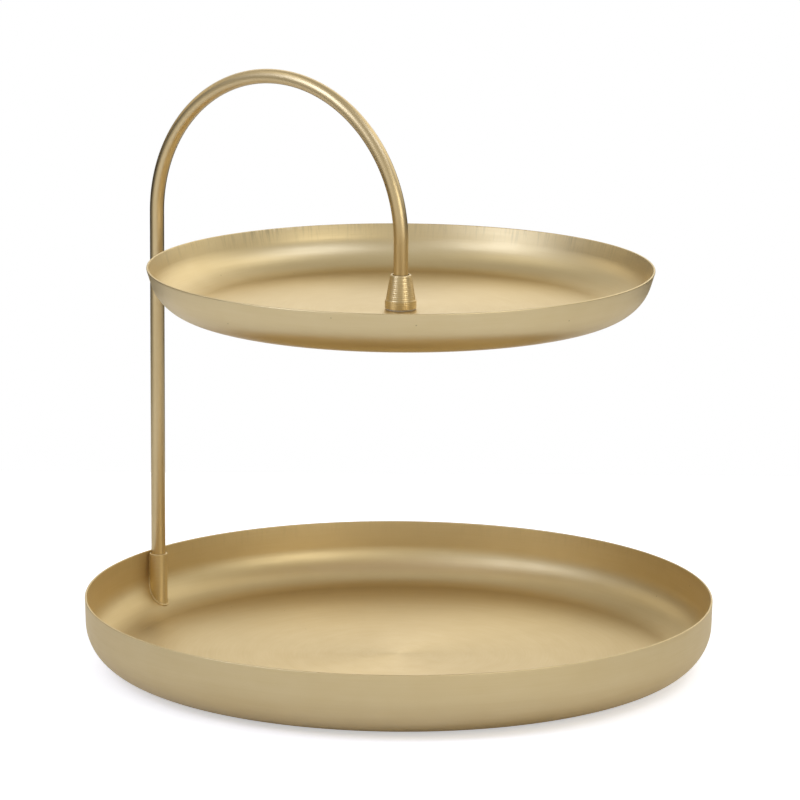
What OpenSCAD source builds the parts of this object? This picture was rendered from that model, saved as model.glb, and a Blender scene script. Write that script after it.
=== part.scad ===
// Two-tier cake stand: a wide lower tray, a smaller upper tray, and one bent tube that
// rises from a sleeve inside the lower tray's wall, arches over and comes down on the
// upper tray's centre, where a conical ferrule and a screw from below clamp the tray.
// Millimetres. Origin on the table under the lower tray's centre, +Z up, the arch in the
// XZ plane with its sleeve on the -X side.

/* [Lower tray] */
// Outer diameter of the lower tray at its rim
lower_d = 300; // [240:1:380]
// Height of the lower tray from its underside to its rim
lower_h = 31; // [27:0.5:50]
// Lean of the lower tray's wall away from vertical, in degrees
lower_flare = 1.5; // [0:0.1:2]
// Outer radius of the lower tray's corner between floor and wall
lower_corner_r = 19.5; // [12:0.5:22]

/* [Upper tray] */
// Outer diameter of the upper tray at its rim
upper_d = 240; // [160:1:250]
// Height of the upper tray from its underside to its rim
upper_h = 21.5; // [16:0.5:40]
// Lean of the upper tray's wall away from vertical, in degrees
upper_flare = 17; // [5:1:25]
// Outer radius of the upper tray's corner between floor and wall
upper_corner_r = 21; // [8:0.5:21.5]
// Clear height from the lower tray's floor to the upper tray's underside
tier_gap = 167.5; // [100:0.5:260]

/* [Sheet] */
// Thickness of the spun sheet of both trays
sheet_t = 1; // [0.7:0.1:1.6]

/* [Handle] */
// Outer diameter of the bent handle tube
tube_d = 7; // [6:0.1:8.5]
// Wall of the handle tube
tube_wall = 1; // [0.8:0.1:1.2]
// Height of the arch's top above the upper tray's underside
handle_rise = 109; // [100:0.5:180]

/* [Sleeve] */
// Wall of the sleeve around the tube
sleeve_wall = 0.9; // [0.8:0.05:1.5]
// How far the sleeve's top stays below the lower tray's rim
sleeve_drop = 1; // [0:0.1:3]

/* [Ferrule] */
// Height of the ferrule
ferrule_h = 16; // [12:0.5:24]
// Diameter of the ferrule's base band
ferrule_base_d = 15; // [13.5:0.5:22]
// Diameter of the ferrule's top rim
ferrule_top_d = 10.2; // [9.8:0.1:12]
// Height of the base band
ferrule_band_h = 4; // [2:0.2:6]
// Thickness of the ferrule's floor, which the tube's end stands on
ferrule_web = 3; // [1.5:0.5:5]

/* [Clamp screw] */
// Nominal diameter of the clamp screw
screw_d = 3; // [2.5:0.5:3]
// Length of the clamp screw under its head
screw_len = 16; // [12:1:20]
// Thickness of the nylon washer above the upper tray
top_washer_t = 0.6; // [0.3:0.1:1.5]
// Thickness of the soft washer under the upper tray
soft_washer_t = 1; // [0.5:0.1:2]
// Thickness of the flat steel washer
flat_washer_t = 0.8; // [0.5:0.1:1.5]
// Thickness of the split spring washer
spring_washer_t = 1; // [0.6:0.1:1.5]

/* [Foot pads] */
// Diameter of each self-adhesive foot pad
pad_d = 14; // [8:1:24]
// Thickness of each foot pad
pad_t = 1.5; // [1:0.25:4]
// Distance from a pad's centre to the edge of the lower tray's flat floor
pad_inset = 22; // [14:1:40]

/* [Hidden] */
$fn = 128;
// radial clearance where one piece turns or slides in another
running_gap = 0.08;
// radial clearance of pieces that are pushed together and stay together
snug_gap = 0.02;
// how far the sleeve's round outside is let into the tray's wall at the rim
sleeve_bite = 0.3;
// space left between the end plug and the tray's curved corner
plug_gap = 0.3;
plug_head_t = 1.5;
plug_stem = 8;
insert_len = 12;
// small turned edges
edge_chamfer = 0.4;
// steps along the arcs of a tray's corner and rim
corner_steps = 18;
rim_steps = 8;
// relief around the tube at the ferrule's mouth
mouth_gap = 0.6;
mouth_depth = 1.2;
// the step under the ferrule's cone
ferrule_step = 0.3;
head_d = 2 * screw_d;
head_h = 0.65 * screw_d;
head_chamfer = 0.3 * head_h;
recess_w = 0.28 * screw_d;
recess_len = 1.15 * screw_d;
recess_depth = 0.6 * head_h;
spring_split = 0.7;
spring_washer_d = 1.9 * screw_d;
flat_washer_d = 3 * screw_d;
soft_washer_d = ferrule_base_d + 1;
top_washer_d = ferrule_base_d - 1;
pad_angle = 45;

// heights, from the table up
lower_z = pad_t;
lower_rim_z = lower_z + lower_h;
upper_z = lower_z + sheet_t + tier_gap;
upper_floor_z = upper_z + sheet_t;
ferrule_z = upper_floor_z + top_washer_t;
tube_end_z = ferrule_z + ferrule_web;
arch_top_z = upper_z + handle_rise;
soft_washer_z = upper_z - soft_washer_t;
flat_washer_z = soft_washer_z - flat_washer_t;
spring_washer_z = flat_washer_z - spring_washer_t;

// the sleeve against the lower tray's wall, and the arch from there to the centre
tube_bore = tube_d - 2 * tube_wall;
sleeve_bore = tube_d + 2 * running_gap;
sleeve_d = sleeve_bore + 2 * sleeve_wall;
socket_r = lower_d / 2 - sheet_t + sleeve_bite - sleeve_d / 2;
arch_r = socket_r / 2;
arch_z = arch_top_z - tube_d / 2 - arch_r;

// A tray's wall is straight over this length, from its corner's arc to its rounded rim
function wall_run(h, flare, corner_r) =
    (h - sheet_t / 2 - corner_r + (corner_r - sheet_t / 2) * sin(flare)) / cos(flare);
// The radius at which the corner's arc is centred, which is also the flat floor's edge
function floor_r(d, h, flare, corner_r) =
    d / 2 - sheet_t / 2 - wall_run(h, flare, corner_r) * sin(flare)
    - (corner_r - sheet_t / 2) * cos(flare);

lower_floor_r = floor_r(lower_d, lower_h, lower_flare, lower_corner_r);
pad_r = lower_floor_r - pad_inset;

// the tube ends where its plug's edge comes near the inside of the tray's curved corner
plug_reach = socket_r + tube_d / 2 - lower_floor_r;
corner_drop = sqrt((lower_corner_r - sheet_t) ^ 2 - plug_reach ^ 2);
plug_z = lower_z + lower_corner_r + plug_gap - corner_drop;
leg_end_z = plug_z + plug_head_t;

brass = "#d2bb86";
dark_brass = "#b89a5e";
steel = "#b9bcc0";
black = "#2b2b2d";
clear = "#e8e6df";

// Points along an arc, from one angle to another
function arc_points(centre, r, from, to, steps) =
    [for (i = [0:steps]) let (a = from + (to - from) * i / steps)
        centre + r * [cos(a), sin(a)]];

// Where a tray's corner arc and its rounded rim are centred, in the half section
function corner_centre(d, h, flare, corner_r) = [floor_r(d, h, flare, corner_r), corner_r];
function rim_centre(d, h, flare, corner_r) =
    corner_centre(d, h, flare, corner_r)
    + (corner_r - sheet_t / 2) * [cos(flare), -sin(flare)]
    + wall_run(h, flare, corner_r) * [sin(flare), cos(flare)];

// A tray of revolved sheet: flat floor, round corner, leaning wall, rounded rim
module tray(d, h, flare, corner_r, hole_d) {
    corner = corner_centre(d, h, flare, corner_r);
    rim = rim_centre(d, h, flare, corner_r);
    rotate_extrude() polygon(concat(
        [[hole_d / 2, sheet_t], [hole_d / 2, 0]],
        arc_points(corner, corner_r, -90, -flare, corner_steps),
        arc_points(rim, sheet_t / 2, -flare, 180 - flare, rim_steps),
        arc_points(corner, corner_r - sheet_t, -flare, -90, corner_steps)
    ));
}

// The space inside the lower tray, up to its rim
module lower_tray_inside() {
    corner = corner_centre(lower_d, lower_h, lower_flare, lower_corner_r);
    rim = rim_centre(lower_d, lower_h, lower_flare, lower_corner_r);
    translate([0, 0, lower_z]) rotate_extrude() polygon(concat(
        [[0, lower_h], [0, sheet_t]],
        arc_points(corner, lower_corner_r - sheet_t, -90, -lower_flare, corner_steps),
        [rim + sheet_t / 2 * [-cos(lower_flare), sin(lower_flare)], [rim.x, lower_h]]
    ));
}

// A ring or washer standing on z
module ring(z, outer_d, bore_d, h) {
    translate([0, 0, z]) difference() {
        cylinder(h = h, d = outer_d);
        translate([0, 0, -1]) cylinder(h = h + 2, d = bore_d);
    }
}

// The tube's cross-section
module tube_section() {
    difference() {
        circle(d = tube_d);
        circle(d = tube_bore);
    }
}

// A straight leg hanging down from z = 0 at x
module hanging_tube(x, length) {
    translate([x, 0, -length]) linear_extrude(length) tube_section();
}

module lower_tray() {
    color(brass) translate([0, 0, lower_z])
        tray(lower_d, lower_h, lower_flare, lower_corner_r, 0);
}

module foot_pad(index) {
    color(black) rotate(pad_angle + 90 * (index - 1)) translate([pad_r, 0, 0]) {
        translate([0, 0, edge_chamfer]) cylinder(h = pad_t - edge_chamfer, d = pad_d);
        cylinder(h = edge_chamfer, d1 = pad_d - 2 * edge_chamfer, d2 = pad_d);
    }
}

module wall_sleeve() {
    color(dark_brass) difference() {
        intersection() {
            translate([-socket_r, 0, lower_z])
                cylinder(h = lower_h - sleeve_drop, d = sleeve_d);
            lower_tray_inside();
        }
        translate([-socket_r, 0, 0]) cylinder(h = lower_rim_z + 1, d = sleeve_bore);
        translate([-socket_r, 0, lower_rim_z - sleeve_drop - edge_chamfer])
            cylinder(h = edge_chamfer + 0.01, d1 = sleeve_bore,
                     d2 = sleeve_bore + 2 * edge_chamfer);
    }
}

module end_plug() {
    color(black) translate([-socket_r, 0, plug_z]) {
        cylinder(h = plug_head_t, d = tube_d);
        cylinder(h = plug_head_t + plug_stem, d = tube_bore - 2 * running_gap);
    }
}

module handle_tube() {
    color(brass) translate([-arch_r, 0, arch_z]) {
        rotate([90, 0, 0]) rotate_extrude(angle = 180) translate([arch_r, 0]) tube_section();
        hanging_tube(-arch_r, arch_z - leg_end_z);
        hanging_tube(arch_r, arch_z - tube_end_z);
    }
}

module thread_insert() {
    color(steel) ring(tube_end_z, tube_bore - 2 * snug_gap, screw_d + 2 * snug_gap,
                      insert_len);
}

// The ferrule's outside: a band at the base, a small step, and a cone to the top rim
module ferrule_section() {
    base_r = ferrule_base_d / 2;
    polygon([[0, 0], [base_r - edge_chamfer / 2, 0], [base_r, edge_chamfer / 2],
             [base_r, ferrule_band_h], [base_r - ferrule_step, ferrule_band_h],
             [ferrule_top_d / 2, ferrule_h - edge_chamfer],
             [ferrule_top_d / 2 - edge_chamfer, ferrule_h], [0, ferrule_h]]);
}

module ferrule() {
    color(dark_brass) translate([0, 0, ferrule_z]) difference() {
        rotate_extrude() ferrule_section();
        translate([0, 0, -1]) cylinder(h = ferrule_web + 2, d = screw_d + 2 * running_gap);
        translate([0, 0, ferrule_web]) cylinder(h = ferrule_h, d = tube_d + 2 * snug_gap);
        translate([0, 0, ferrule_h - mouth_depth])
            cylinder(h = mouth_depth + 1, d = tube_d + 2 * mouth_gap);
    }
}

module top_washer() {
    color(clear) ring(upper_floor_z, top_washer_d, screw_d + 2 * running_gap, top_washer_t);
}

module upper_tray() {
    color(brass) translate([0, 0, upper_z])
        tray(upper_d, upper_h, upper_flare, upper_corner_r, screw_d + 2 * running_gap);
}

module soft_washer() {
    color(black) ring(soft_washer_z, soft_washer_d, screw_d + 2 * running_gap, soft_washer_t);
}

module flat_washer() {
    color(steel) ring(flat_washer_z, flat_washer_d, screw_d + 2 * running_gap, flat_washer_t);
}

module spring_washer() {
    color(steel) difference() {
        ring(spring_washer_z, spring_washer_d, screw_d + 2 * running_gap, spring_washer_t);
        translate([0, -spring_split / 2, spring_washer_z - 1])
            cube([spring_washer_d, spring_split, spring_washer_t + 2]);
    }
}

module clamp_screw() {
    color(steel) translate([0, 0, spring_washer_z]) difference() {
        union() {
            cylinder(h = screw_len, d = screw_d);
            translate([0, 0, -head_h]) {
                cylinder(h = head_chamfer, d1 = head_d - 2 * head_chamfer, d2 = head_d);
                translate([0, 0, head_chamfer]) cylinder(h = head_h - head_chamfer, d = head_d);
            }
        }
        for (turn = [0, 90]) rotate(turn)
            translate([-recess_len / 2, -recess_w / 2, -head_h - 1])
                cube([recess_len, recess_w, recess_depth + 1]);
    }
}

lower_tray();
foot_pad(1);  // foot_pad_1
foot_pad(2);  // foot_pad_2
foot_pad(3);  // foot_pad_3
foot_pad(4);  // foot_pad_4
wall_sleeve();
end_plug();
handle_tube();
thread_insert();
ferrule();
top_washer();
upper_tray();
soft_washer();
flat_washer();
spring_washer();
clamp_screw();
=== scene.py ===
# %% [markdown]
# # A two-tier cake stand in satin brass
# The stand is two round trays of spun sheet metal and one bent tube that carries the upper
# tray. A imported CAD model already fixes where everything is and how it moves. This script
# loads that model as a fixed frame, and then makes finer pieces and real finishes around it.
# Every length below is in metres, and the stand's centre line is the Z axis.

# %% Load the frame
import math

import bmesh
import bpy
from mathutils import Matrix, Vector


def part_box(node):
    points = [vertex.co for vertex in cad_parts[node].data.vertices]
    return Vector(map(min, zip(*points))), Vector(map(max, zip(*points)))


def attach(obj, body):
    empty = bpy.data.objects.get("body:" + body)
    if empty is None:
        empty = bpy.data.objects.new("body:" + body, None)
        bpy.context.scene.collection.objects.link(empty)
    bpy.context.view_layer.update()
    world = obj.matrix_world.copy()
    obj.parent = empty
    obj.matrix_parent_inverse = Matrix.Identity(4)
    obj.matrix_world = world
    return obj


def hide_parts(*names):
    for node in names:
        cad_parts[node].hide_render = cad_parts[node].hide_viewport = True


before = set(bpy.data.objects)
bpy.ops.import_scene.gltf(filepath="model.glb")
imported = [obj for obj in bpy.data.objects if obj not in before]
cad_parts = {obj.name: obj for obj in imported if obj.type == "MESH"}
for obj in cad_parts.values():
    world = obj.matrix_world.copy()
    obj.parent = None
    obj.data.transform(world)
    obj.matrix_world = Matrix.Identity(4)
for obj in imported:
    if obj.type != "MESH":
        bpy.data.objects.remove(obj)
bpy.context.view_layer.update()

# %% [markdown]
# ## Reading places off the frame
# A piece that replaces a CAD part has to sit exactly where that part sits. The corners of
# each part's box give its height and radius, so no place is typed twice. The few sizes that
# a box can't tell, such as the sheet's thickness, are named here once.

# %% Places and sizes
MM = 0.001
SHEET = 1.0 * MM
TUBE_WALL = 1.0 * MM
RUNNING_GAP = 0.08 * MM


def lowest(node):
    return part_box(node)[0]


def highest(node):
    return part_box(node)[1]


def width(node):
    return highest(node).y - lowest(node).y


tube_radius = width("handle_tube") / 2
leg_x = lowest("handle_tube").x + tube_radius
arch_radius = -leg_x / 2
arch_z = highest("handle_tube").z - tube_radius - arch_radius
leg_foot_z = lowest("handle_tube").z
centre_foot_z = lowest("thread_insert").z
sleeve_radius = width("wall_sleeve") / 2
screw_hole = width("clamp_screw") / 4 + RUNNING_GAP
print("leg at x", round(leg_x, 5), "arch radius", round(arch_radius, 5), "centre z", round(arch_z, 5))

# %% [markdown]
# ## Objects and finished meshes
# Two jobs come back often: putting an object in the scene, and taking the mesh that an object
# has once its modifiers have run.

# %% Object helpers
def add_object(name, data):
    made = bpy.data.objects.new(name, data)
    bpy.context.scene.collection.objects.link(made)
    return made


def finished_mesh(piece):
    bpy.context.view_layer.update()
    return bpy.data.meshes.new_from_object(piece.evaluated_get(bpy.context.evaluated_depsgraph_get()))


# %% [markdown]
# ## The camera
# The camera looks slightly down at the stand from a good two metres away. Its long lens
# keeps the two rims close to true ellipses. It is placed by its heading, its height angle and
# its distance from a target on the centre line, and rolled by a third of a degree.

# %% Camera
HEADING = math.radians(34.565)
CAMERA_HEIGHT_ANGLE = math.radians(11.895)
CAMERA_ROLL = math.radians(0.374)
CAMERA_DISTANCE = 2.2541
TARGET_HEIGHT = 0.1270
LENS_MM = 213.7

away = Vector((-math.sin(HEADING), math.cos(HEADING), 0))
to_right = Vector((math.cos(HEADING), math.sin(HEADING), 0))
up = Vector((0, 0, 1))
looking = away * math.cos(CAMERA_HEIGHT_ANGLE) - up * math.sin(CAMERA_HEIGHT_ANGLE)
camera_up = to_right.cross(looking)
rolled_right = to_right * math.cos(CAMERA_ROLL) + camera_up * math.sin(CAMERA_ROLL)
rolled_up = camera_up * math.cos(CAMERA_ROLL) - to_right * math.sin(CAMERA_ROLL)
target = Vector((0, 0, TARGET_HEIGHT))

lens = bpy.data.cameras.new("main_camera")
lens.lens = LENS_MM
lens.sensor_width = 36.0
lens.clip_end = 20.0
camera = add_object("main_camera", lens)
placement = Matrix((rolled_right, rolled_up, -looking)).transposed().to_4x4()
placement.translation = target - looking * CAMERA_DISTANCE
camera.matrix_world = placement
bpy.context.scene.camera = camera
print("camera at", [round(v, 3) for v in placement.translation])

# %% [markdown]
# ## Building node trees with short lines
# Both shaders and shapes are built from nodes here. Five small helpers keep each recipe
# readable. They add a node and set it up, fill a socket, do one sum, add a soft noise, and
# make a node group with named inputs and outputs.

# %% Node helpers
def add_node(tree, kind, inputs=None, **settings):
    node = tree.nodes.new(kind)
    for name, value in settings.items():
        setattr(node, name, value)
    for key, value in (inputs or {}).items():
        plug_in(tree, value, node.inputs[key])
    return node


def plug_in(tree, value, socket):
    if isinstance(value, bpy.types.NodeSocket):
        tree.links.new(value, socket)
    else:
        socket.default_value = value


def math_node(tree, operation, *values, clamp=False):
    node = add_node(tree, "ShaderNodeMath", operation=operation, use_clamp=clamp)
    for socket, value in zip(node.inputs, values):
        plug_in(tree, value, socket)
    return node.outputs[0]


def noise(tree, place, scale, detail, **more):
    inputs = {"Vector": place, "Scale": scale, "Detail": detail, **more}
    return add_node(tree, "ShaderNodeTexNoise", inputs).outputs["Fac"]


def make_group(name, kind, inputs, outputs):
    """A node group; inputs are (name, type, default value), outputs are (name, type)."""
    group = bpy.data.node_groups.new(name, kind)
    for label, socket_type, default in inputs:
        socket = group.interface.new_socket(
            label, in_out="INPUT", socket_type="NodeSocket" + socket_type)
        if default is not None:
            socket.default_value = default
    for label, socket_type in outputs:
        group.interface.new_socket(
            label, in_out="OUTPUT", socket_type="NodeSocket" + socket_type)
    start = group.nodes.new("NodeGroupInput")
    end = group.nodes.new("NodeGroupOutput")
    return group, start.outputs, end.inputs


# %% [markdown]
# ## Effect 1: the lines of a spun sheet
# A tray like this is spun: the sheet turns on a lathe while a roller presses it over a form,
# and then an abrasive pad gives it its satin. Both leave fine lines that run round the axis.
# Noise that is stretched a long way round the circle and cut very fine across it looks like
# those lines. Using the cosine and sine of the angle, and not the angle itself, lets the
# lines close on themselves without a seam. Radius plus height is a good measure of how far
# out along the section a point is, on the floor and on the wall alike.

# %% Spun lines group
spun_lines, given, result = make_group(
    "spun_lines", "ShaderNodeTree",
    [("Position", "Vector", None), ("Lines Per Metre", "Float", 900.0),
     ("Change Round", "Float", 3.0)],
    [("Fine", "Float"), ("Broad", "Float")])
tree = spun_lines
parts = add_node(tree, "ShaderNodeSeparateXYZ", {0: given["Position"]}).outputs
radius = math_node(tree, "SQRT", math_node(
    tree, "ADD", math_node(tree, "MULTIPLY", parts["X"], parts["X"]),
    math_node(tree, "MULTIPLY", parts["Y"], parts["Y"])))
safe_radius = math_node(tree, "MAXIMUM", radius, 0.0005)
round_x = math_node(tree, "DIVIDE", parts["X"], safe_radius)
round_y = math_node(tree, "DIVIDE", parts["Y"], safe_radius)
along = math_node(tree, "ADD", radius, parts["Z"])
for label, coarser in (("Fine", 1.0), ("Broad", 9.0)):
    across = math_node(tree, "MULTIPLY", along, math_node(
        tree, "DIVIDE", given["Lines Per Metre"], coarser))
    place = add_node(tree, "ShaderNodeCombineXYZ", {
        "X": across,
        "Y": math_node(tree, "MULTIPLY", round_x, given["Change Round"]),
        "Z": math_node(tree, "MULTIPLY", round_y, given["Change Round"])})
    tree.links.new(noise(tree, place.outputs[0], 1.0, 2.0, Roughness=0.6), result[label])
print("spun lines group:", len(tree.nodes), "nodes")

# %% [markdown]
# ## Effect 2: strokes that cross the rim
# The rim is deburred last, with strokes straight across the edge. They leave short marks
# that run down the inside of the wall from the rim and fade out within a centimetre. This is
# noise that is fine round the circle and long down the wall. A mask on height keeps it near
# the rim, and one on the surface's direction keeps it on the inside.

# %% Rim strokes group
CHANGE_DOWN = 60.0
PATCH_GAIN = 1.6
INSIDE_GAIN = -4.0
rim_strokes, given, result = make_group(
    "rim_strokes", "ShaderNodeTree",
    [("Position", "Vector", None), ("Normal", "Vector", None),
     ("Rim Height", "Float", 0.03), ("Reach", "Float", 0.009),
     ("Strokes", "Float", 90.0), ("Amount", "Float", 1.0)],
    [("Marks", "Float"), ("Near Rim", "Float")])
tree = rim_strokes
parts = add_node(tree, "ShaderNodeSeparateXYZ", {0: given["Position"]}).outputs
flat = add_node(tree, "ShaderNodeCombineXYZ", {"X": parts["X"], "Y": parts["Y"]})
direction = add_node(tree, "ShaderNodeVectorMath", {0: flat.outputs[0]}, operation="NORMALIZE")
spread = add_node(tree, "ShaderNodeVectorMath",
                  {0: direction.outputs[0], "Scale": given["Strokes"]}, operation="SCALE")
down = add_node(tree, "ShaderNodeCombineXYZ", {
    "Z": math_node(tree, "MULTIPLY", parts["Z"], CHANGE_DOWN)})
place = add_node(tree, "ShaderNodeVectorMath", {
    0: spread.outputs[0], 1: down.outputs[0]}, operation="ADD")
stroke_noise = noise(tree, place.outputs[0], 1.0, 3.0, Roughness=0.65)
patches = noise(tree, direction.outputs[0], 1.7, 1.0)
drop = math_node(tree, "SUBTRACT", given["Rim Height"], parts["Z"])
fade = math_node(tree, "SUBTRACT", 1.0, math_node(
    tree, "DIVIDE", drop, given["Reach"]), clamp=True)
facing = add_node(tree, "ShaderNodeVectorMath", {0: direction.outputs[0], 1: given["Normal"]},
                  operation="DOT_PRODUCT").outputs["Value"]
inside = math_node(tree, "MULTIPLY", facing, INSIDE_GAIN, clamp=True)
strength = math_node(tree, "MULTIPLY", math_node(
    tree, "MULTIPLY", patches, PATCH_GAIN), math_node(
        tree, "MULTIPLY", inside, given["Amount"]))
near_rim = math_node(tree, "MULTIPLY", fade, strength, clamp=True)
tree.links.new(near_rim, result["Near Rim"])
tree.links.new(math_node(tree, "MULTIPLY", near_rim, stroke_noise), result["Marks"])
print("rim strokes group:", len(tree.nodes), "nodes")

# %% [markdown]
# ## Effect 3: handling
# No plated surface is even. The lacquer pools a little, fingers leave dull clouds, and dust
# in the coating shows as small dark specks. Two sizes of soft noise give the clouds, and a
# Voronoi pattern cut off very low gives a few separate specks.

# %% Handling group
handling, given, result = make_group(
    "handling", "ShaderNodeTree",
    [("Position", "Vector", None), ("Cloud Scale", "Float", 14.0),
     ("Speck Scale", "Float", 60.0), ("Speck Size", "Float", 0.02)],
    [("Clouds", "Float"), ("Specks", "Float")])
tree = handling
large = noise(tree, given["Position"], given["Cloud Scale"], 3.0)
finer = math_node(tree, "MULTIPLY", given["Cloud Scale"], 5.0)
small = noise(tree, given["Position"], finer, 2.0)
clouds = math_node(tree, "ADD", math_node(tree, "MULTIPLY", large, 0.7),
                   math_node(tree, "MULTIPLY", small, 0.3))
cells = add_node(tree, "ShaderNodeTexVoronoi", {
    "Vector": given["Position"], "Scale": given["Speck Scale"]})
tree.links.new(clouds, result["Clouds"])
specks = math_node(tree, "LESS_THAN", cells.outputs["Distance"], given["Speck Size"])
tree.links.new(specks, result["Specks"])
print("handling group:", len(tree.nodes), "nodes")

# %% [markdown]
# ## Effect 4: turned rings
# The ferrule and the sleeve come off a lathe, whose tool leaves an even thread of tiny
# ridges. A sine wave along the axis makes the ridges, and a little noise in its phase keeps
# them from looking printed.

# %% Turned rings group
turned_rings, given, result = make_group(
    "turned_rings", "ShaderNodeTree",
    [("Position", "Vector", None), ("Rings Per Metre", "Float", 2400.0)],
    [("Ridges", "Float")])
tree = turned_rings
parts = add_node(tree, "ShaderNodeSeparateXYZ", {0: given["Position"]}).outputs
wander = noise(tree, given["Position"], 140.0, 2.0)
level = add_node(tree, "ShaderNodeCombineXYZ", {"Z": parts["Z"]})
height_noise = noise(tree, level.outputs[0], 1500.0, 3.0)
phase = math_node(tree, "MULTIPLY", parts["Z"], math_node(
    tree, "MULTIPLY", given["Rings Per Metre"], math.tau))
wave = math_node(tree, "SINE", math_node(tree, "ADD", phase, math_node(
    tree, "MULTIPLY", wander, 1.5)))
tree.links.new(math_node(tree, "ADD", math_node(
    tree, "MULTIPLY", wave, 0.3), height_noise), result["Ridges"])
print("turned rings group:", len(tree.nodes), "nodes")

# %% [markdown]
# ## Satin brass for the trays
# Champagne-coloured satin brass is a metal, so its colour sits in its reflection. Where one
# wall mirrors another the light has met the metal twice, and the gold deepens by itself. The
# material adds what the hand sees: fine spun lines in the bump and the roughness, pale and
# dark strokes inside the rim, clouds and specks. The highlight of brushed metal is drawn out
# across the lines, so the shader is anisotropic with its tangent running round the axis. The
# upper tray shows its strokes more than the lower one.

# %% Material helpers
def start_material(name):
    material = bpy.data.materials.new(name)
    material.use_nodes = True
    tree = material.node_tree
    shader = tree.nodes["Principled BSDF"]
    position = tree.nodes.new("ShaderNodeTexCoord").outputs["Object"]
    return material, tree, shader, position


def use_group(tree, group, inputs):
    node = tree.nodes.new("ShaderNodeGroup")
    node.node_tree = group
    for key, value in inputs.items():
        plug_in(tree, value, node.inputs[key])
    return node.outputs


def mix_colour(tree, factor, first, second):
    node = tree.nodes.new("ShaderNodeMix")
    node.data_type = "RGBA"
    plug_in(tree, factor, node.inputs["Factor"])
    colour_inputs = [s for s in node.inputs if s.type == "RGBA"]
    plug_in(tree, first, colour_inputs[0])
    plug_in(tree, second, colour_inputs[1])
    return next(s for s in node.outputs if s.type == "RGBA")


def weighted_sum(tree, base, *terms):
    """base plus each (value, weight), with every value counted from its middle, 0.5."""
    total = base
    for value, weight in terms:
        centred = math_node(tree, "SUBTRACT", value, 0.5)
        total = math_node(tree, "ADD", total, math_node(tree, "MULTIPLY", centred, weight))
    return total


def add_bump(tree, shader, height, distance):
    bump = add_node(tree, "ShaderNodeBump", {"Height": height, "Distance": distance, "Strength": 1.0})
    tree.links.new(bump.outputs["Normal"], shader.inputs["Normal"])


def set_surface(tree, shader, colour, roughness, metallic=1.0):
    tree.links.new(colour, shader.inputs["Base Color"])
    tree.links.new(roughness, shader.inputs["Roughness"])
    shader.inputs["Metallic"].default_value = metallic


# %% Tray brass
BRASS = (0.71, 0.565, 0.305, 1)
BRASS_DEEP = (0.63, 0.475, 0.222, 1)
BRASS_WORN = (0.84, 0.74, 0.54, 1)
RIM_SHADE = (0.45, 0.36, 0.20, 1)
SPECK = (0.20, 0.14, 0.07, 1)
STROKE_CUT = 0.5
PALE_STROKES = 3.0
DARK_STROKES = 4.0
STROKE_RELIEF = 2.0
TRAY_RELIEF = 0.02 * MM


def tray_brass(name, rim_height, roughness, stroke_amount):
    material, tree, shader, position = start_material(name)
    lines = use_group(tree, spun_lines, {"Position": position, "Lines Per Metre": 1500.0})
    normal = tree.nodes.new("ShaderNodeNewGeometry").outputs["Normal"]
    strokes = use_group(tree, rim_strokes, {
        "Position": position, "Normal": normal, "Rim Height": rim_height, "Amount": stroke_amount})
    touch = use_group(tree, handling, {"Position": position})
    tone = weighted_sum(
        tree, 0.35, (touch["Clouds"], 0.9), (lines["Broad"], 0.35), (lines["Fine"], 0.2))
    colour = mix_colour(tree, tone, BRASS, BRASS_DEEP)
    above = math_node(tree, "SUBTRACT", strokes["Marks"], STROKE_CUT, clamp=True)
    pale = math_node(tree, "MULTIPLY", above, PALE_STROKES, clamp=True)
    colour = mix_colour(tree, pale, colour, BRASS_WORN)
    below = math_node(tree, "SUBTRACT", math_node(
        tree, "MULTIPLY", strokes["Near Rim"], STROKE_CUT), strokes["Marks"], clamp=True)
    dark = math_node(tree, "MULTIPLY", below, DARK_STROKES, clamp=True)
    colour = mix_colour(tree, dark, colour, RIM_SHADE)
    colour = mix_colour(tree, math_node(tree, "MULTIPLY", touch["Specks"], 0.5), colour, SPECK)
    rough = weighted_sum(tree, roughness, (touch["Clouds"], 0.12), (lines["Fine"], 0.10),
                         (lines["Broad"], 0.06), (strokes["Marks"], 0.05))
    set_surface(tree, shader, colour, rough)
    shader.inputs["Anisotropic"].default_value = 0.45
    tangent = add_node(tree, "ShaderNodeTangent", direction_type="RADIAL", axis="Z")
    tree.links.new(tangent.outputs[0], shader.inputs["Tangent"])
    stroke_relief = math_node(tree, "MULTIPLY", strokes["Marks"], STROKE_RELIEF)
    add_bump(tree, shader, math_node(tree, "ADD", lines["Fine"], stroke_relief), TRAY_RELIEF)
    return material


lower_brass = tray_brass("lower_tray_brass", highest("lower_tray").z, 0.48, 0.3)
upper_brass = tray_brass("upper_tray_brass", highest("upper_tray").z, 0.42, 1.0)
print("tray finishes:", lower_brass.name, upper_brass.name)

# %% [markdown]
# ## Brass for the tube, the turned pieces and the braze
# The tube is drawn brass: its marks run along it, not round it. A mesh that follows a path
# can carry its own coordinates, one along the path and one round it, so the marks bend with
# the tube. The ferrule and sleeve are turned, so they take the ridges group. Braze is duller
# and a little darker, because the flux and the torch leave it so.

# %% Tube brass
TUBE_BRASS = (0.69, 0.535, 0.285, 1)
TUBE_DEEP = (0.57, 0.42, 0.195, 1)
DRAWN_SCALE = (16.0, 7.0, 1.0)
TUBE_RELIEF = 0.005 * MM


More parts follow.
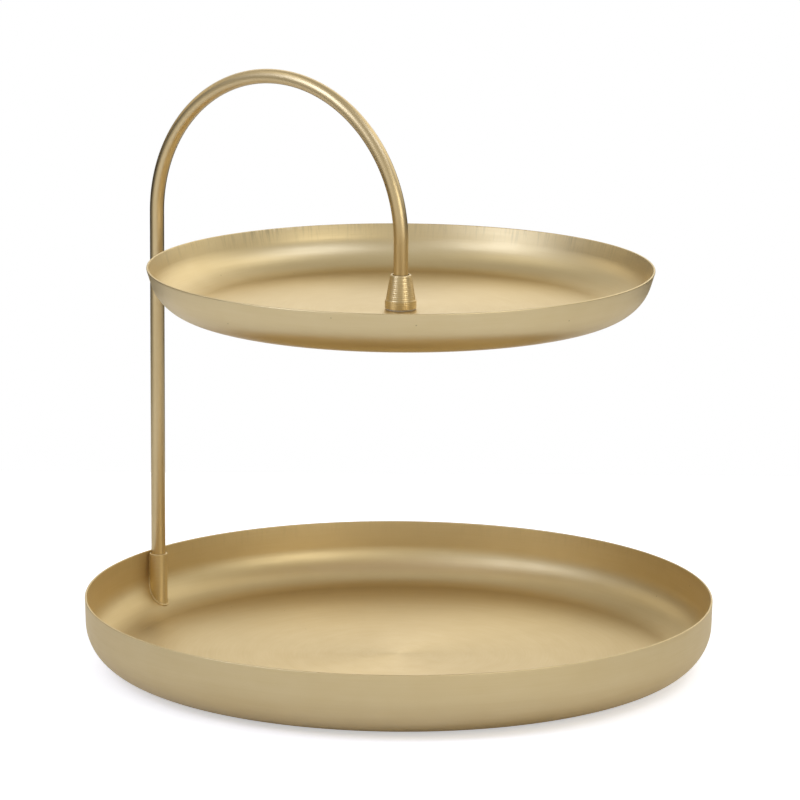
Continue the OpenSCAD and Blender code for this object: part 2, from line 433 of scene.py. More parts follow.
def tube_brass(name):
    material, tree, shader, position = start_material(name)
    path = add_node(tree, "ShaderNodeUVMap", uv_map="UVMap").outputs[0]
    fine_scale = add_node(tree, "ShaderNodeMapping", {"Vector": path, "Scale": DRAWN_SCALE})
    fine = noise(tree, fine_scale.outputs[0], 1.0, 1.0)
    touch = use_group(tree, handling, {"Position": position, "Cloud Scale": 30.0})
    tone = weighted_sum(tree, 0.4, (touch["Clouds"], 0.8), (fine, 0.4))
    colour = mix_colour(tree, tone, TUBE_BRASS, TUBE_DEEP)
    rough = weighted_sum(tree, 0.37, (fine, 0.10), (touch["Clouds"], 0.12))
    set_surface(tree, shader, colour, rough)
    add_bump(tree, shader, fine, TUBE_RELIEF)
    return material


def turned_brass(name, colour_a, colour_b, rings, ridge_depth, roughness):
    material, tree, shader, position = start_material(name)
    ridges = use_group(tree, turned_rings, {"Position": position, "Rings Per Metre": rings})
    touch = use_group(tree, handling, {"Position": position, "Cloud Scale": 60.0})
    tone = weighted_sum(tree, 0.4, (ridges["Ridges"], 0.5), (touch["Clouds"], 0.8))
    rough = weighted_sum(tree, roughness, (ridges["Ridges"], 0.12), (touch["Clouds"], 0.15))
    set_surface(tree, shader, mix_colour(tree, tone, colour_a, colour_b), rough)
    add_bump(tree, shader, ridges["Ridges"], ridge_depth)
    return material


tube_finish = tube_brass("handle_tube_brass")
ferrule_finish = turned_brass("turned_ferrule_brass", BRASS, TUBE_DEEP, 1100.0, 0.07 * MM, 0.36)
sleeve_finish = turned_brass("turned_sleeve_brass", BRASS, BRASS_DEEP, 1500.0, 0.01 * MM, 0.46)
braze_finish = turned_brass("braze_metal", BRASS, TUBE_DEEP, 300.0, 0.08 * MM, 0.48)
print("brass finishes made")

# %% [markdown]
# ## Steel, rubber and nylon
# The fasteners are zinc-plated steel: cool grey, with faint turning marks and patchy gloss.
# The soft washer and the pads are black rubber, which is matte, slightly grey where it has
# been touched, and finely pitted by its mould. Nylon is smoother, with a soft sheen: black in
# the end plug, and its natural straw colour in the washer under the ferrule.

# %% Steel and moulded finishes
ZINC, ZINC_DULL = (0.62, 0.63, 0.64, 1), (0.47, 0.47, 0.46, 1)
RUBBER, RUBBER_WORN = (0.022, 0.022, 0.023, 1), (0.055, 0.054, 0.052, 1)
NYLON, NYLON_WORN = (0.018, 0.018, 0.019, 1), (0.035, 0.035, 0.036, 1)
STRAW, STRAW_DEEP = (0.60, 0.54, 0.42, 1), (0.48, 0.42, 0.31, 1)


def zinc_steel(name):
    material, tree, shader, position = start_material(name)
    ridges = use_group(tree, turned_rings, {"Position": position, "Rings Per Metre": 3000.0})
    touch = use_group(tree, handling, {"Position": position, "Cloud Scale": 120.0})
    tone = weighted_sum(tree, 0.5, (touch["Clouds"], 1.6))
    rough = weighted_sum(tree, 0.33, (touch["Clouds"], 0.3), (ridges["Ridges"], 0.08))
    set_surface(tree, shader, mix_colour(tree, tone, ZINC, ZINC_DULL), rough)
    add_bump(tree, shader, ridges["Ridges"], 0.01 * MM)
    return material


def moulded(name, colour_a, colour_b, roughness, pit_depth, pit_scale):
    material, tree, shader, position = start_material(name)
    touch = use_group(tree, handling, {"Position": position, "Cloud Scale": 80.0})
    pits = noise(tree, position, pit_scale, 4.0)
    tone = weighted_sum(tree, 0.45, (touch["Clouds"], 1.6), (pits, 0.5))
    rough = weighted_sum(tree, roughness, (touch["Clouds"], 0.25), (pits, 0.1))
    set_surface(tree, shader, mix_colour(tree, tone, colour_a, colour_b), rough, metallic=0.0)
    add_bump(tree, shader, pits, pit_depth)
    return material


fastener_finish = zinc_steel("zinc_plated_steel")
rubber_finish = moulded("black_rubber", RUBBER, RUBBER_WORN, 0.72, 0.06 * MM, 1500.0)
nylon_finish = moulded("black_nylon", NYLON, NYLON_WORN, 0.42, 0.02 * MM, 900.0)
natural_nylon = moulded("natural_nylon", STRAW, STRAW_DEEP, 0.45, 0.02 * MM, 900.0)
print("steel, rubber and nylon made")

# %% [markdown]
# ## A lathe built from Geometry Nodes
# Most of this stand is round: trays, ferrule, washers, pads, screw. Each follows one rule,
# which is to turn a flat outline about an axis. The node tree takes the outline as a chain of
# vertices, lays out a grid with one row per step of the turn, and sends every grid vertex to
# the matching outline vertex, rotated by that row's angle. Merging close vertices then shuts
# the seam and the poles.

# %% Lathe tree
lathe, given, result = make_group(
    "lathe", "GeometryNodeTree",
    [("Outline", "Geometry", None), ("Steps", "Int", 128),
     ("Axis Place", "Vector", None), ("Merge Distance", "Float", 1e-6),
     ("Material", "Material", None)],
    [("Geometry", "Geometry")])
lathe.is_modifier = True
outline_points = add_node(
    lathe, "GeometryNodeAttributeDomainSize", {0: given["Outline"]}).outputs["Point Count"]
rows = add_node(lathe, "FunctionNodeIntegerMath", {0: given["Steps"], 1: 1}, operation="ADD").outputs[0]
grid = add_node(lathe, "GeometryNodeMeshGrid", {"Vertices X": rows, "Vertices Y": outline_points})
index = lathe.nodes.new("GeometryNodeInputIndex").outputs[0]
place_on_outline = add_node(
    lathe, "FunctionNodeIntegerMath", {0: index, 1: outline_points}, operation="MODULO").outputs[0]
row = add_node(
    lathe, "FunctionNodeIntegerMath", {0: index, 1: outline_points}, operation="DIVIDE_FLOOR").outputs[0]
sample = add_node(lathe, "GeometryNodeSampleIndex", {
    "Geometry": given["Outline"], "Index": place_on_outline}, data_type="FLOAT_VECTOR")
plug_in(lathe, lathe.nodes.new("GeometryNodeInputPosition").outputs[0], sample.inputs["Value"])
angle = math_node(lathe, "MULTIPLY", math_node(lathe, "DIVIDE", row, given["Steps"]), math.tau)
turned = add_node(lathe, "ShaderNodeVectorRotate", {"Vector": sample.outputs[0], "Angle": angle},
                  rotation_type="Z_AXIS")
moved = add_node(lathe, "ShaderNodeVectorMath", {
    0: turned.outputs[0], 1: given["Axis Place"]}, operation="ADD")
shaped = add_node(lathe, "GeometryNodeSetPosition", {
    "Geometry": grid.outputs["Mesh"], "Position": moved.outputs[0]})
closed = add_node(lathe, "GeometryNodeMergeByDistance", {
    "Geometry": shaped.outputs[0], "Distance": given["Merge Distance"]})
solid = add_node(lathe, "GeometryNodeRealizeInstances", {0: closed.outputs[0]})
painted = add_node(lathe, "GeometryNodeSetMaterial", {
    "Geometry": solid.outputs[0], "Material": given["Material"]})
lathe.links.new(painted.outputs[0], result[0])
print("lathe tree:", len(lathe.nodes), "nodes")

# %% [markdown]
# ## Running a tree and keeping its mesh
# The tree runs as a modifier on an object that holds only the outline. Its inputs are set by
# each socket's identifier before anything is evaluated. The evaluated result is then copied
# to a plain mesh. Its doubles are merged, its faces are turned outwards, and edges that carry
# no face are deleted, such as the one an outline leaves along its own axis.

# %% Run a tree
def chain_mesh(name, points):
    mesh = bpy.data.meshes.new(name)
    links = [(i, i + 1) for i in range(len(points) - 1)]
    mesh.from_pydata(points, links, [])
    return mesh


def run_tree(name, group, source_mesh, inputs):
    scratch = add_object(name + "_source", source_mesh)
    modifier = scratch.modifiers.new("tree", "NODES")
    modifier.node_group = group
    for item in group.interface.items_tree:
        if item.in_out == "INPUT" and item.name in inputs:
            modifier[item.identifier] = inputs[item.name]
    mesh = finished_mesh(scratch)
    bpy.data.objects.remove(scratch)
    mesh.name = name
    return add_object(name, mesh)


SHARP_ANGLE = math.radians(35)


def clean(piece, merge=1e-7):
    work = bmesh.new()
    work.from_mesh(piece.data)
    bmesh.ops.remove_doubles(work, verts=work.verts, dist=merge)
    bmesh.ops.recalc_face_normals(work, faces=work.faces)
    volume = work.calc_volume(signed=True)
    if volume < 0:
        bmesh.ops.reverse_faces(work, faces=work.faces)
    bare_edges = [edge for edge in work.edges if not edge.link_faces]
    bmesh.ops.delete(work, geom=bare_edges, context="EDGES")
    open_edges = sum(1 for edge in work.edges if len(edge.link_faces) != 2)
    triangles = sum(len(face.verts) - 2 for face in work.faces)
    work.to_mesh(piece.data)
    work.free()
    piece.data.shade_smooth()
    piece.data.set_sharp_from_angle(angle=SHARP_ANGLE)
    print(f"{piece.name}: {triangles} triangles, {open_edges} open edges, {abs(volume) * 1e6:.2f} cm3")
    return piece


def turn_on_lathe(name, outline, finish, steps=128, axis_at=(0, 0, 0)):
    """outline is a closed loop of (radius, height) points."""
    loop = [(r, 0, z) for r, z in outline + outline[:1]]
    piece = run_tree(name, lathe, chain_mesh(name, loop), {
        "Steps": steps, "Axis Place": axis_at, "Material": finish})
    return clean(piece)


def arc(centre, radius, start, end, steps):
    """Points on an arc, from one angle to another, in degrees."""
    angles = [math.radians(start + (end - start) * i / steps) for i in range(steps + 1)]
    return [(centre[0] + radius * math.cos(a), centre[1] + radius * math.sin(a)) for a in angles]


# %% [markdown]
# ## The two trays
# Each tray is one blank of one-millimetre sheet. Its section is a flat floor, a large round
# corner, a wall that leans out a little, and a rim rounded by deburring. The outline goes
# round both skins of the sheet, so the wall has its real thickness at the rim. The corner's
# centre is worked out from the rim's radius, the height and the lean.

# %% Trays
LOWER_LEAN, LOWER_CORNER = math.radians(1.5), 19.5 * MM
UPPER_LEAN, UPPER_CORNER = math.radians(17), 21 * MM


def tray_shape(node, lean, corner_radius):
    """Places in the tray's section: the corner's centre, the rim's centre and the base height."""
    low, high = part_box(node)
    rim_radius = -low.x
    middle = corner_radius - SHEET / 2
    wall = (high.z - low.z - SHEET / 2 - corner_radius + middle * math.sin(lean)) / math.cos(lean)
    floor_radius = rim_radius - SHEET / 2 - wall * math.sin(lean) - middle * math.cos(lean)
    rim = (rim_radius - SHEET / 2, high.z - SHEET / 2)
    return {"corner": (floor_radius, low.z + corner_radius), "rim": rim, "base": low.z,
            "lean": lean, "corner_radius": corner_radius}


def tray_outline(shape, hole_radius):
    lean = math.degrees(shape["lean"])
    base, radius = shape["base"], shape["corner_radius"]
    underside = [(hole_radius, base + SHEET), (hole_radius, base)]
    outer = arc(shape["corner"], radius, -90, -lean, 40)
    edge = arc(shape["rim"], SHEET / 2, -lean, 180 - lean, 14)
    inner = arc(shape["corner"], radius - SHEET, -lean, -90, 40)
    return underside + outer + edge + inner


lower_shape = tray_shape("lower_tray", LOWER_LEAN, LOWER_CORNER)
upper_shape = tray_shape("upper_tray", UPPER_LEAN, UPPER_CORNER)
lower_piece = turn_on_lathe("lower_tray_spun", tray_outline(lower_shape, 0), lower_brass, steps=320)
upper_piece = turn_on_lathe(
    "upper_tray_spun", tray_outline(upper_shape, screw_hole), upper_brass, steps=288)

# %% [markdown]
# ## A sweep built from Geometry Nodes
# The handle is one tube pushed along a path, and the braze at the sleeve is a bead laid along
# another, so both use the same tree. It turns a chain of vertices into a curve and carries a
# circle along it. Two numbers are caught on the way, the length along the path and the place
# round the circle, and stored as the UV map that the brass's drawn marks follow. The place
# round runs there and back, so that the marks meet where the circle closes. A noise can
# swell and thin the bead, as a hand-fed braze does.

# %% Sweep tree
sweep, given, result = make_group(
    "sweep", "GeometryNodeTree",
    [("Path", "Geometry", None), ("Radius", "Float", 0.0035),
     ("Sides", "Int", 48), ("Unevenness", "Float", 0.0),
     ("Lump Scale", "Float", 300.0), ("Caps", "Bool", False),
     ("Material", "Material", None)],
    [("Geometry", "Geometry")])
sweep.is_modifier = True
path_curve = add_node(sweep, "GeometryNodeMeshToCurve", {"Mesh": given["Path"]})
place = sweep.nodes.new("GeometryNodeSplineParameter").outputs
catch_length = sweep.nodes.new("GeometryNodeCaptureAttribute")
catch_length.capture_items.new("FLOAT", "Length")
plug_in(sweep, path_curve.outputs[0], catch_length.inputs["Geometry"])
plug_in(sweep, place["Length"], catch_length.inputs["Length"])
ring = add_node(sweep, "GeometryNodeCurvePrimitiveCircle", {
    "Resolution": given["Sides"], "Radius": given["Radius"]})
catch_round = sweep.nodes.new("GeometryNodeCaptureAttribute")
catch_round.capture_items.new("FLOAT", "Round")
plug_in(sweep, ring.outputs["Curve"], catch_round.inputs["Geometry"])
place_round = sweep.nodes.new("GeometryNodeSplineParameter").outputs["Factor"]
plug_in(sweep, place_round, catch_round.inputs["Round"])
lumps = add_node(sweep, "ShaderNodeTexNoise", {
    "Vector": sweep.nodes.new("GeometryNodeInputPosition").outputs[0], "Scale": given["Lump Scale"]})
swell = math_node(sweep, "ADD", 1.0, math_node(sweep, "MULTIPLY", given["Unevenness"], math_node(
    sweep, "SUBTRACT", lumps.outputs["Fac"], 0.5)))
swept = add_node(sweep, "GeometryNodeCurveToMesh", {
    "Curve": catch_length.outputs["Geometry"], "Profile Curve": catch_round.outputs["Geometry"],
    "Scale": swell, "Fill Caps": given["Caps"]})
there_and_back = math_node(sweep, "ABSOLUTE", math_node(
    sweep, "SUBTRACT", catch_round.outputs["Round"], 0.5))
drawn_place = add_node(sweep, "ShaderNodeCombineXYZ", {
    "X": there_and_back, "Y": catch_length.outputs["Length"]})
mapped = add_node(sweep, "GeometryNodeStoreNamedAttribute", {
    "Geometry": swept.outputs[0], "Name": "UVMap", "Value": drawn_place.outputs[0]},
    data_type="FLOAT2", domain="CORNER")
solid = add_node(sweep, "GeometryNodeRealizeInstances", {0: mapped.outputs[0]})
painted = add_node(sweep, "GeometryNodeSetMaterial", {
    "Geometry": solid.outputs[0], "Material": given["Material"]})
sweep.links.new(painted.outputs[0], result[0])
print("sweep tree:", len(sweep.nodes), "nodes")

# %% [markdown]
# ## The handle tube
# The path is a straight leg, a half circle and a shorter leg. The sweep makes the outer skin,
# and Solidify then gives it a one-millimetre wall inwards, so the open foot shows a real tube
# when the handle is lifted out.

# %% Handle tube
ARCH_STEPS = 120
LEG_STEPS = 24


def straight(start, end, steps):
    start, end = Vector(start), Vector(end)
    return [start.lerp(end, i / steps) for i in range(steps)]


arch = [Vector((x, 0, z)) for x, z in arc((-arch_radius, arch_z), arch_radius, 180, 0, ARCH_STEPS)]
handle_path = (straight((leg_x, 0, leg_foot_z), (leg_x, 0, arch_z), LEG_STEPS) + arch
               + straight((0, 0, arch_z), (0, 0, centre_foot_z), 4)[1:] + [Vector((0, 0, centre_foot_z))])
handle = run_tree("handle_tube_bent", sweep, chain_mesh("handle_path", handle_path), {
    "Radius": tube_radius, "Sides": 64, "Material": tube_finish})
wall = handle.modifiers.new("wall", "SOLIDIFY")
wall.thickness = TUBE_WALL
wall.offset = -1.0
wall.use_rim = True
thick = finished_mesh(handle)
handle.modifiers.remove(wall)
handle.data = thick
clean(handle)

# %% [markdown]
# ## The ferrule
# The cone that joins handle and tray is turned from bar: a plain band at the base, a small
# step, then the taper, with the cutter's rings left on it, up to a bright chamfered lip. The
# mouth is opened a little wider than the tube, which draws a dark ring round it. Rings deep
# enough to see are cut into the outline, and finer ones are left to the material.

# %% Ferrule
ferrule_low, ferrule_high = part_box("ferrule")
FERRULE_BAND = 4.0 * MM
FERRULE_TOP_RADIUS = 5.1 * MM
FERRULE_STEP = 0.3 * MM
RING_PITCH = 0.62 * MM
RING_DEPTH = 0.03 * MM
MOUTH_GAP = 0.6 * MM
MOUTH_DEPTH = 1.2 * MM
EDGE_EASE = 0.2 * MM
LIP_HEIGHT = 0.55 * MM
CONE_STEPS = 90


def ferrule_outline():
    base_radius = -ferrule_low.x
    base, top = ferrule_low.z, ferrule_high.z
    web_top = lowest("thread_insert").z
    bore = tube_radius + 0.02 * MM
    mouth = tube_radius + MOUTH_GAP
    eased = base_radius - EDGE_EASE
    band = [(screw_hole, base)] + arc((eased, base + EDGE_EASE), EDGE_EASE, -90, 0, 6)
    band += arc((eased, base + FERRULE_BAND - EDGE_EASE), EDGE_EASE, 0, 75, 6)
    cone_foot = (base_radius - FERRULE_STEP - 0.1 * MM, base + FERRULE_BAND)
    cone_head = (FERRULE_TOP_RADIUS, top - LIP_HEIGHT)
    length = math.dist(cone_foot, cone_head)
    cone = []
    for i in range(1, CONE_STEPS):
        t = i / CONE_STEPS
        cut = RING_DEPTH * 0.5 * (1 - math.cos(math.tau * t * length / RING_PITCH))
        cone.append((cone_foot[0] + (cone_head[0] - cone_foot[0]) * t - cut,
                     cone_foot[1] + (cone_head[1] - cone_foot[1]) * t))
    lip = [cone_head, (FERRULE_TOP_RADIUS - 0.12 * MM, top - 0.3 * MM),
           (FERRULE_TOP_RADIUS - 0.5 * MM, top), (mouth + 0.15 * MM, top), (mouth, top - 0.15 * MM)]
    inside = [(mouth, top - MOUTH_DEPTH), (bore, top - MOUTH_DEPTH), (bore, web_top),
              (screw_hole, web_top)]
    return band + [cone_foot] + cone + lip + inside


ferrule_piece = turn_on_lathe("ferrule_turned", ferrule_outline(), ferrule_finish, steps=128)

# %% [markdown]
# ## The sleeve and its braze
# The sleeve is a short tube that stands against the inside of the lower tray's wall, so its
# back and its foot have to follow the tray. A turned tube is made first, and then each of its
# vertices that would be outside the tray is brought in to the wall or up to the round corner.
# The braze runs along the line where the two meet. That line comes from the tray's own
# section: the height of the tray's inner skin at each point of the sleeve's outside.

# %% Sleeve
sleeve_top_z = highest("wall_sleeve").z
corner_at, corner_height = lower_shape["corner"]
inner_corner = LOWER_CORNER - SHEET
foot_radius = corner_at + inner_corner * math.cos(LOWER_LEAN)
foot_height = corner_height - inner_corner * math.sin(LOWER_LEAN)
SEAT_GAP = 0.02 * MM
SLEEVE_EASE = 0.3 * MM
SLEEVE_STEPS = 60


def inside_height(radius):
    """Height of the lower tray's inner skin at this radius."""
    if radius <= corner_at:
        return lower_shape["base"] + SHEET
    if radius <= foot_radius:
        return corner_height - math.sqrt(inner_corner ** 2 - (radius - corner_at) ** 2)
    return foot_height + (radius - foot_radius) / math.tan(LOWER_LEAN)


def inside_radius(height):
    """Radius of the lower tray's inner skin at this height."""
    if height >= foot_height:
        return foot_radius + (height - foot_height) * math.tan(LOWER_LEAN)
    return corner_at + math.sqrt(inner_corner ** 2 - (corner_height - height) ** 2)


def sleeve_outline():
    bore = tube_radius + RUNNING_GAP
    foot = lowest("wall_sleeve").z
    eased = sleeve_top_z - SLEEVE_EASE
    outside = [(sleeve_radius, foot + (eased - foot) * i / SLEEVE_STEPS)
               for i in range(SLEEVE_STEPS + 1)]
    lip = arc((sleeve_radius - SLEEVE_EASE, eased), SLEEVE_EASE, 15, 90, 5)
    mouth = [(bore + 0.25 * MM, sleeve_top_z), (bore, eased)]
    inside = [(bore, eased + (foot - eased) * i / SLEEVE_STEPS) for i in range(1, SLEEVE_STEPS + 1)]
    return outside + lip + mouth + inside


def fit_in_tray(piece):
    for vertex in piece.data.vertices:
        radius = math.hypot(vertex.co.x, vertex.co.y)
        floor = inside_height(min(radius, inside_radius(sleeve_top_z)))
        vertex.co.z = min(max(vertex.co.z, floor + SEAT_GAP), sleeve_top_z)
        limit = inside_radius(vertex.co.z) - SEAT_GAP
        if radius > limit:
            vertex.co.x *= limit / radius
            vertex.co.y *= limit / radius


sleeve_piece = turn_on_lathe("wall_sleeve_turned", sleeve_outline(), sleeve_finish,
                             steps=96, axis_at=(leg_x, 0, 0))
fit_in_tray(sleeve_piece)
clean(sleeve_piece, merge=2e-5)

# %% Braze bead
BRAZE_RADIUS = 0.55 * MM
BRAZE_TOP = sleeve_top_z - 0.8 * MM
braze_path = []
for step in range(-180, 181, 3):
    turn = math.radians(step)
    spot = Vector((leg_x + sleeve_radius * math.cos(turn), sleeve_radius * math.sin(turn), 0))
    if spot.length < inside_radius(BRAZE_TOP):
        spot.z = inside_height(spot.length)
        braze_path.append(spot + Vector((math.cos(turn), math.sin(turn), 1)) * 0.1 * MM)
for end in (0, -1):
    lift = BRAZE_TOP - braze_path[end].z
    top = braze_path[end] + Vector((-lift * math.tan(LOWER_LEAN), 0, lift))
    climb = straight(braze_path[end], top, 6)[1:]
    braze_path = climb[::-1] + braze_path if end == 0 else braze_path + climb
braze_piece = run_tree("sleeve_braze", sweep, chain_mesh("braze_path", braze_path), {
    "Radius": BRAZE_RADIUS, "Sides": 14, "Caps": True, "Unevenness": 0.7,
    "Lump Scale": 420.0, "Material": braze_finish})
clean(braze_piece)
print("braze path has", len(braze_path), "points, lowest", round(min(p.z for p in braze_path), 5))

# %% [markdown]
# ## Pads, plug and washers
# These are small turned or moulded discs, so the lathe makes all of them from one rounded
# outline. The rounding matters more than its size suggests: a real edge always catches a
# thin line of light. The plug closes the foot of the leg and is the face it turns on.

# %% Small round pieces
def ring_outline(bore, outer, bottom, top, ease):
    """A washer or disc with all its outer edges eased; bore 0 gives a solid disc."""
    low = arc((outer - ease, bottom + ease), ease, -90, 0, 5)
    high = arc((outer - ease, top - ease), ease, 0, 90, 5)
    return [(bore, bottom)] + low + high + [(bore, top)]


def ring_from(node, bore, ease, finish):
    low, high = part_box(node)
    centre = ((low.x + high.x) / 2, (low.y + high.y) / 2, 0)
    outline = ring_outline(bore, width(node) / 2, low.z, high.z, ease)
    return turn_on_lathe(node + "_moulded", outline, finish, steps=72, axis_at=centre)


pads = {f"foot_pad_{i}": ring_from(f"foot_pad_{i}", 0, 0.45 * MM, rubber_finish) for i in range(1, 5)}
top_washer_piece = ring_from("top_washer", screw_hole, 0.15 * MM, natural_nylon)
soft_washer_piece = ring_from("soft_washer", screw_hole, 0.3 * MM, rubber_finish)
flat_washer_piece = ring_from("flat_washer", screw_hole, 0.2 * MM, fastener_finish)

# %% End plug
plug_low, plug_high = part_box("end_plug")
PLUG_HEAD = 1.5 * MM
PLUG_EASE = 0.4 * MM
RIBS, RIB_PITCH, RIB_DEPTH = 4, 1.6 * MM, 0.25 * MM
head_top = plug_low.z + PLUG_HEAD
stem_radius = tube_radius - TUBE_WALL - RUNNING_GAP
plug_outline = [(0, plug_low.z)]
plug_outline += arc((tube_radius - PLUG_EASE, plug_low.z + PLUG_EASE), PLUG_EASE, -90, 0, 5)
plug_outline += [(tube_radius, head_top - 0.1 * MM), (tube_radius - 0.1 * MM, head_top),
                 (stem_radius, head_top)]
for rib in range(RIBS):
    foot = head_top + 0.8 * MM + RIB_PITCH * rib
    plug_outline += [(stem_radius - RIB_DEPTH, foot), (stem_radius, foot + 0.9 * MM)]
plug_outline += [(stem_radius - 0.5 * MM, plug_high.z), (0, plug_high.z)]
plug_piece = turn_on_lathe(
    "end_plug_moulded", plug_outline, nylon_finish, steps=64, axis_at=(leg_x, 0, 0))

# %% [markdown]
# ## The screw
# The screw under the upper tray is the one fastener that shows, from below. Its domed head
# is turned, and a cross recess with tapering arms is cut into it with a Boolean.

# %% Clamp screw
screw_low, screw_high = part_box("clamp_screw")
head_radius = width("clamp_screw") / 2
shank_radius = head_radius / 2
seat_z = lowest("spring_washer").z
THREAD_PITCH = 0.5 * MM
THREAD_DEPTH = 0.2 * MM
DOME_SHARE = 0.55
ARM_LENGTH, ARM_WIDTH, RECESS_DEPTH = 1.75 * MM, 0.45 * MM, 1.2 * MM


def screw_outline():
    dome = []
    for degrees in range(0, 81, 8):
        a = math.radians(degrees)
        share = 1 - DOME_SHARE + DOME_SHARE * math.cos(a)
        dome.append((head_radius * math.sin(a), seat_z - (seat_z - screw_low.z) * share))
    shoulder = [(head_radius, seat_z - 0.7 * MM), (head_radius, seat_z), (shank_radius, seat_z)]
    thread = []
    start = lowest("thread_insert").z
    turns = int((screw_high.z - 0.3 * MM - start) / THREAD_PITCH)
    for turn in range(turns):
        foot = start + turn * THREAD_PITCH
        thread += [(shank_radius - THREAD_DEPTH, foot), (shank_radius, foot + THREAD_PITCH / 2)]
    tip = [(shank_radius - 0.3 * MM, screw_high.z), (0, screw_high.z)]
    return dome + shoulder + [(shank_radius, start - 0.2 * MM)] + thread + tip


def tapered_bar(work, half_length, half_width, bottom, top):
    rings = []
    for z, shrink in ((bottom, 1.0), (top, 0.55)):
        rings.append([work.verts.new((sx * half_length * shrink, sy * half_width * (0.3 + 0.7 * shrink), z))
                      for sx, sy in ((-1, -1), (1, -1), (1, 1), (-1, 1))])
    work.faces.new(rings[0][::-1])
    work.faces.new(rings[1])
    for i in range(4):
        work.faces.new((rings[0][i], rings[0][(i + 1) % 4], rings[1][(i + 1) % 4], rings[1][i]))


def cut_recess(piece, turned_by):
    work = bmesh.new()
    tapered_bar(work, ARM_LENGTH, ARM_WIDTH, screw_low.z - 1 * MM, screw_low.z + RECESS_DEPTH)
    bmesh.ops.rotate(work, verts=work.verts, matrix=Matrix.Rotation(turned_by, 3, "Z"))
    bmesh.ops.recalc_face_normals(work, faces=work.faces)
    mesh = bpy.data.meshes.new("recess_cutter")
    work.to_mesh(mesh)
    work.free()
    cutter = add_object("recess_cutter", mesh)
    cut = piece.modifiers.new("recess", "BOOLEAN")
    cut.operation = "DIFFERENCE"
    cut.object = cutter
    done = finished_mesh(piece)
    piece.modifiers.remove(cut)
    piece.data = done
    bpy.data.objects.remove(cutter)


screw_piece = turn_on_lathe("clamp_screw_turned", screw_outline(), fastener_finish, steps=64)
for quarter in (0, math.pi / 2):
    cut_recess(screw_piece, quarter)
clean(screw_piece)

# %% [markdown]
# ## Handing the pieces to the frame
# Each piece stands for one CAD part and moves with that part's body. Two small parts are
# already the right shape, the threaded insert and the split spring washer, so they stay and
# only get the zinc finish. The braze has no part of its own in the CAD, and simply rides on
# the base.

# %% Bodies and parts
taken = [
    (lower_piece, "base", "tray_brass", "lower_tray"), (upper_piece, "upper", "tray_brass", "upper_tray"),
    (handle, "handle", "tube_brass", "handle_tube"), (ferrule_piece, "handle", "turned_brass", "ferrule"),
    (sleeve_piece, "base", "turned_brass", "wall_sleeve"), (plug_piece, "plug", "black_nylon", "end_plug"),
    (top_washer_piece, "handle", "clear_nylon", "top_washer"),
    (soft_washer_piece, "handle", "black_rubber", "soft_washer"),
    (flat_washer_piece, "handle", "fastener_steel", "flat_washer"),
    (screw_piece, "handle", "fastener_steel", "clamp_screw")]
taken += [(pad, "base", "black_rubber", node) for node, pad in pads.items()]
for piece, body, slot_name, node in taken:
    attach(piece, body)
    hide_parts(node)
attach(braze_piece, "base")
for node in ("thread_insert", "spring_washer"):
    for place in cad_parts[node].material_slots:
        place.material = fastener_finish
print(len(taken), "CAD parts replaced by finer pieces")

# %% [markdown]
# ## Floor, surroundings and lights
# Metal shows what stands round it, so the surroundings are part of the finish. The camera
# sees plain white, and the floor is lifted to that white only where the camera sees it
# directly, so its edge doesn't show. It lies a tenth of a millimetre below the pads, which
# keeps the faces apart, and reaches further towards the camera than behind, because the floor
# behind makes the trays' outer ends too pale. Reflections see a studio: a soft dome, a bright
# horizon on the camera's side and a bright backdrop behind. Six soft panels make the broad
# patches on the walls. The two that make the brightest patches are cool, and one is warm.

# %% Floor
FLOOR_HALF = 0.65
FLOOR_FORWARD = 0.25
FLOOR_GAP = 0.1 * MM
FLOOR_LIFT = 0.48
floor_mesh = bpy.data.meshes.new("floor")
floor_mesh.from_pydata([
    away * (FLOOR_HALF * ahead - FLOOR_FORWARD) + to_right * FLOOR_HALF * across - up * FLOOR_GAP
    for ahead, across in ((-1, -1), (-1, 1), (1, 1), (1, -1))], [], [(0, 1, 2, 3)])
floor = add_object("floor", floor_mesh)
floor_finish, tree, shader, position = start_material("pale_floor")
grain = noise(tree, position, 3.0, 2.0)
floor_colour = mix_colour(tree, grain, (0.90, 0.90, 0.90, 1), (0.87, 0.87, 0.87, 1))
tree.links.new(floor_colour, shader.inputs["Base Color"])
shader.inputs["Roughness"].default_value = 0.9
shader.inputs["Emission Color"].default_value = (1, 1, 1, 1)
seen_directly = tree.nodes.new("ShaderNodeLightPath").outputs["Is Camera Ray"]
glow = math_node(tree, "MULTIPLY", seen_directly, FLOOR_LIFT)
tree.links.new(glow, shader.inputs["Emission Strength"])
floor.data.materials.append(floor_finish)

# %% Surroundings
DOME, FRONT_HORIZON, BACKDROP = 0.52, 0.80, 1.06
world = bpy.data.worlds.new("studio")
bpy.context.scene.world = world
world.use_nodes = True
tree = world.node_tree
tree.nodes.clear()
direction = tree.nodes.new("ShaderNodeTexCoord").outputs["Generated"]
height = add_node(tree, "ShaderNodeSeparateXYZ", {0: direction}).outputs["Z"]


def towards(heading):
    """How far a direction points along this heading, from -1 to 1."""
    return add_node(tree, "ShaderNodeVectorMath", {0: direction, 1: heading},
                    operation="DOT_PRODUCT").outputs["Value"]


def rise(value, start, end):
    """0 below start, 1 above end, smooth between; swapped ends give a fall."""
    low, high = min(start, end), max(start, end)
    first, last = (0.0, 1.0) if start < end else (1.0, 0.0)
    return add_node(tree, "ShaderNodeMapRange", {
        "Value": value, "From Min": low, "From Max": high, "To Min": first, "To Max": last},
        interpolation_type="SMOOTHSTEP").outputs["Result"]


def product(*values):
    total = values[0]
    for value in values[1:]:
        total = math_node(tree, "MULTIPLY", total, value)
    return total


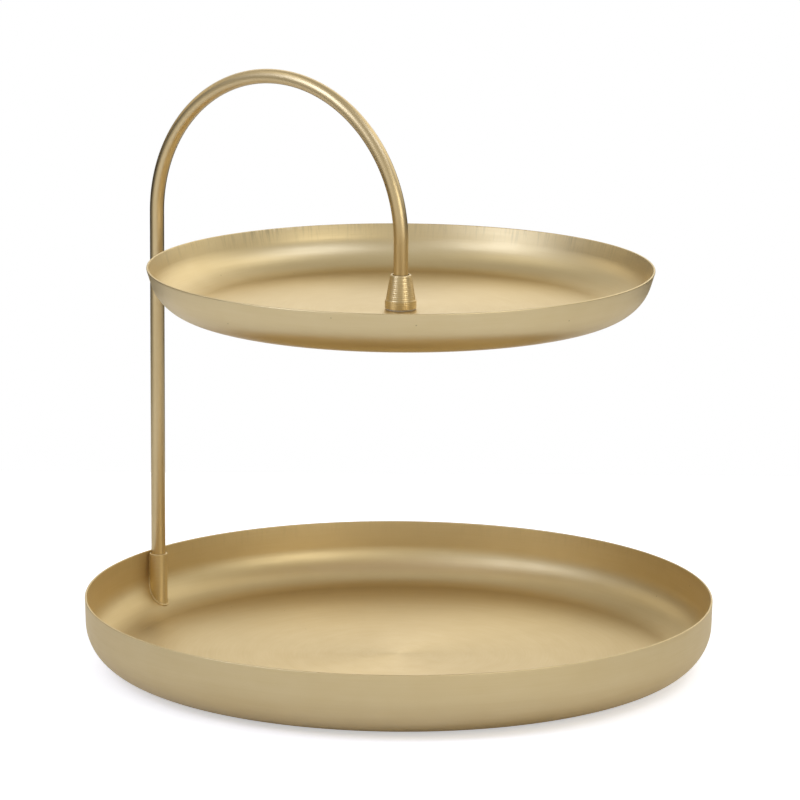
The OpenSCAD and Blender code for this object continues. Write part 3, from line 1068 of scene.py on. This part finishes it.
BACKDROP_TURN = math.radians(28)
rear_right = away * math.cos(BACKDROP_TURN) + to_right * math.sin(BACKDROP_TURN)
dome = product(rise(height, 0.05, 0.45), DOME)
front = product(rise(height, 0.45, 0.05), rise(towards(-away), -0.1, 0.7), FRONT_HORIZON)
backdrop = product(
    rise(height, 0.0, 0.2), rise(height, 0.85, 0.5), rise(towards(rear_right), 0.3, 0.8), BACKDROP)
level = math_node(tree, "ADD", math_node(tree, "ADD", dome, front), backdrop)
room = add_node(tree, "ShaderNodeBackground", {"Color": (1, 1, 1, 1), "Strength": level})
seen = add_node(tree, "ShaderNodeBackground", {"Color": (1, 1, 1, 1), "Strength": 1.0})
is_camera = tree.nodes.new("ShaderNodeLightPath").outputs["Is Camera Ray"]
chosen = add_node(tree, "ShaderNodeMixShader", {
    0: is_camera, 1: room.outputs[0], 2: seen.outputs[0]})
surroundings = tree.nodes.new("ShaderNodeOutputWorld")
tree.links.new(chosen.outputs[0], surroundings.inputs["Surface"])

# %% Lights
LIGHT_TARGET = Vector((0, 0, 0.12))
PANEL_DISTANCE = 1.8
COOL = (0.88, 1.04, 1.6)
WARM = (1.15, 1.0, 0.72)


def soft_panel(name, heading, elevation, size, radiance, tint=(1, 1, 1)):
    """A soft box; heading is in degrees round from the backdrop, to the right."""
    panel = bpy.data.lights.new(name, "AREA")
    panel.shape = "RECTANGLE"
    panel.size, panel.size_y = size
    panel.color = tint
    panel.energy = radiance * math.pi * size[0] * size[1]
    lamp = add_object(name, panel)
    turn, lift = math.radians(heading), math.radians(elevation)
    level_part = away * math.cos(turn) + to_right * math.sin(turn)
    spot = LIGHT_TARGET + (level_part * math.cos(lift) + up * math.sin(lift)) * PANEL_DISTANCE
    lamp.matrix_world = Matrix.Translation(spot) @ (
        LIGHT_TARGET - spot).to_track_quat("-Z", "Y").to_matrix().to_4x4()


soft_panel("box_front_left", 236, 36, (0.7, 1.1), 3.2, COOL)
soft_panel("box_front_right", 122, 54, (0.8, 0.7), 1.75, COOL)
soft_panel("box_front_low_right", 140, 16, (0.9, 0.6), 2.7)
soft_panel("box_right", 75, 52, (0.7, 0.7), 0.9)
soft_panel("box_left", 275, 58, (0.7, 0.7), 0.8)
soft_panel("box_rear_left", 305, 20, (1.0, 0.5), 0.6, WARM)
bpy.context.scene.view_settings.view_transform = "Standard"
bpy.context.scene.view_settings.look = "None"
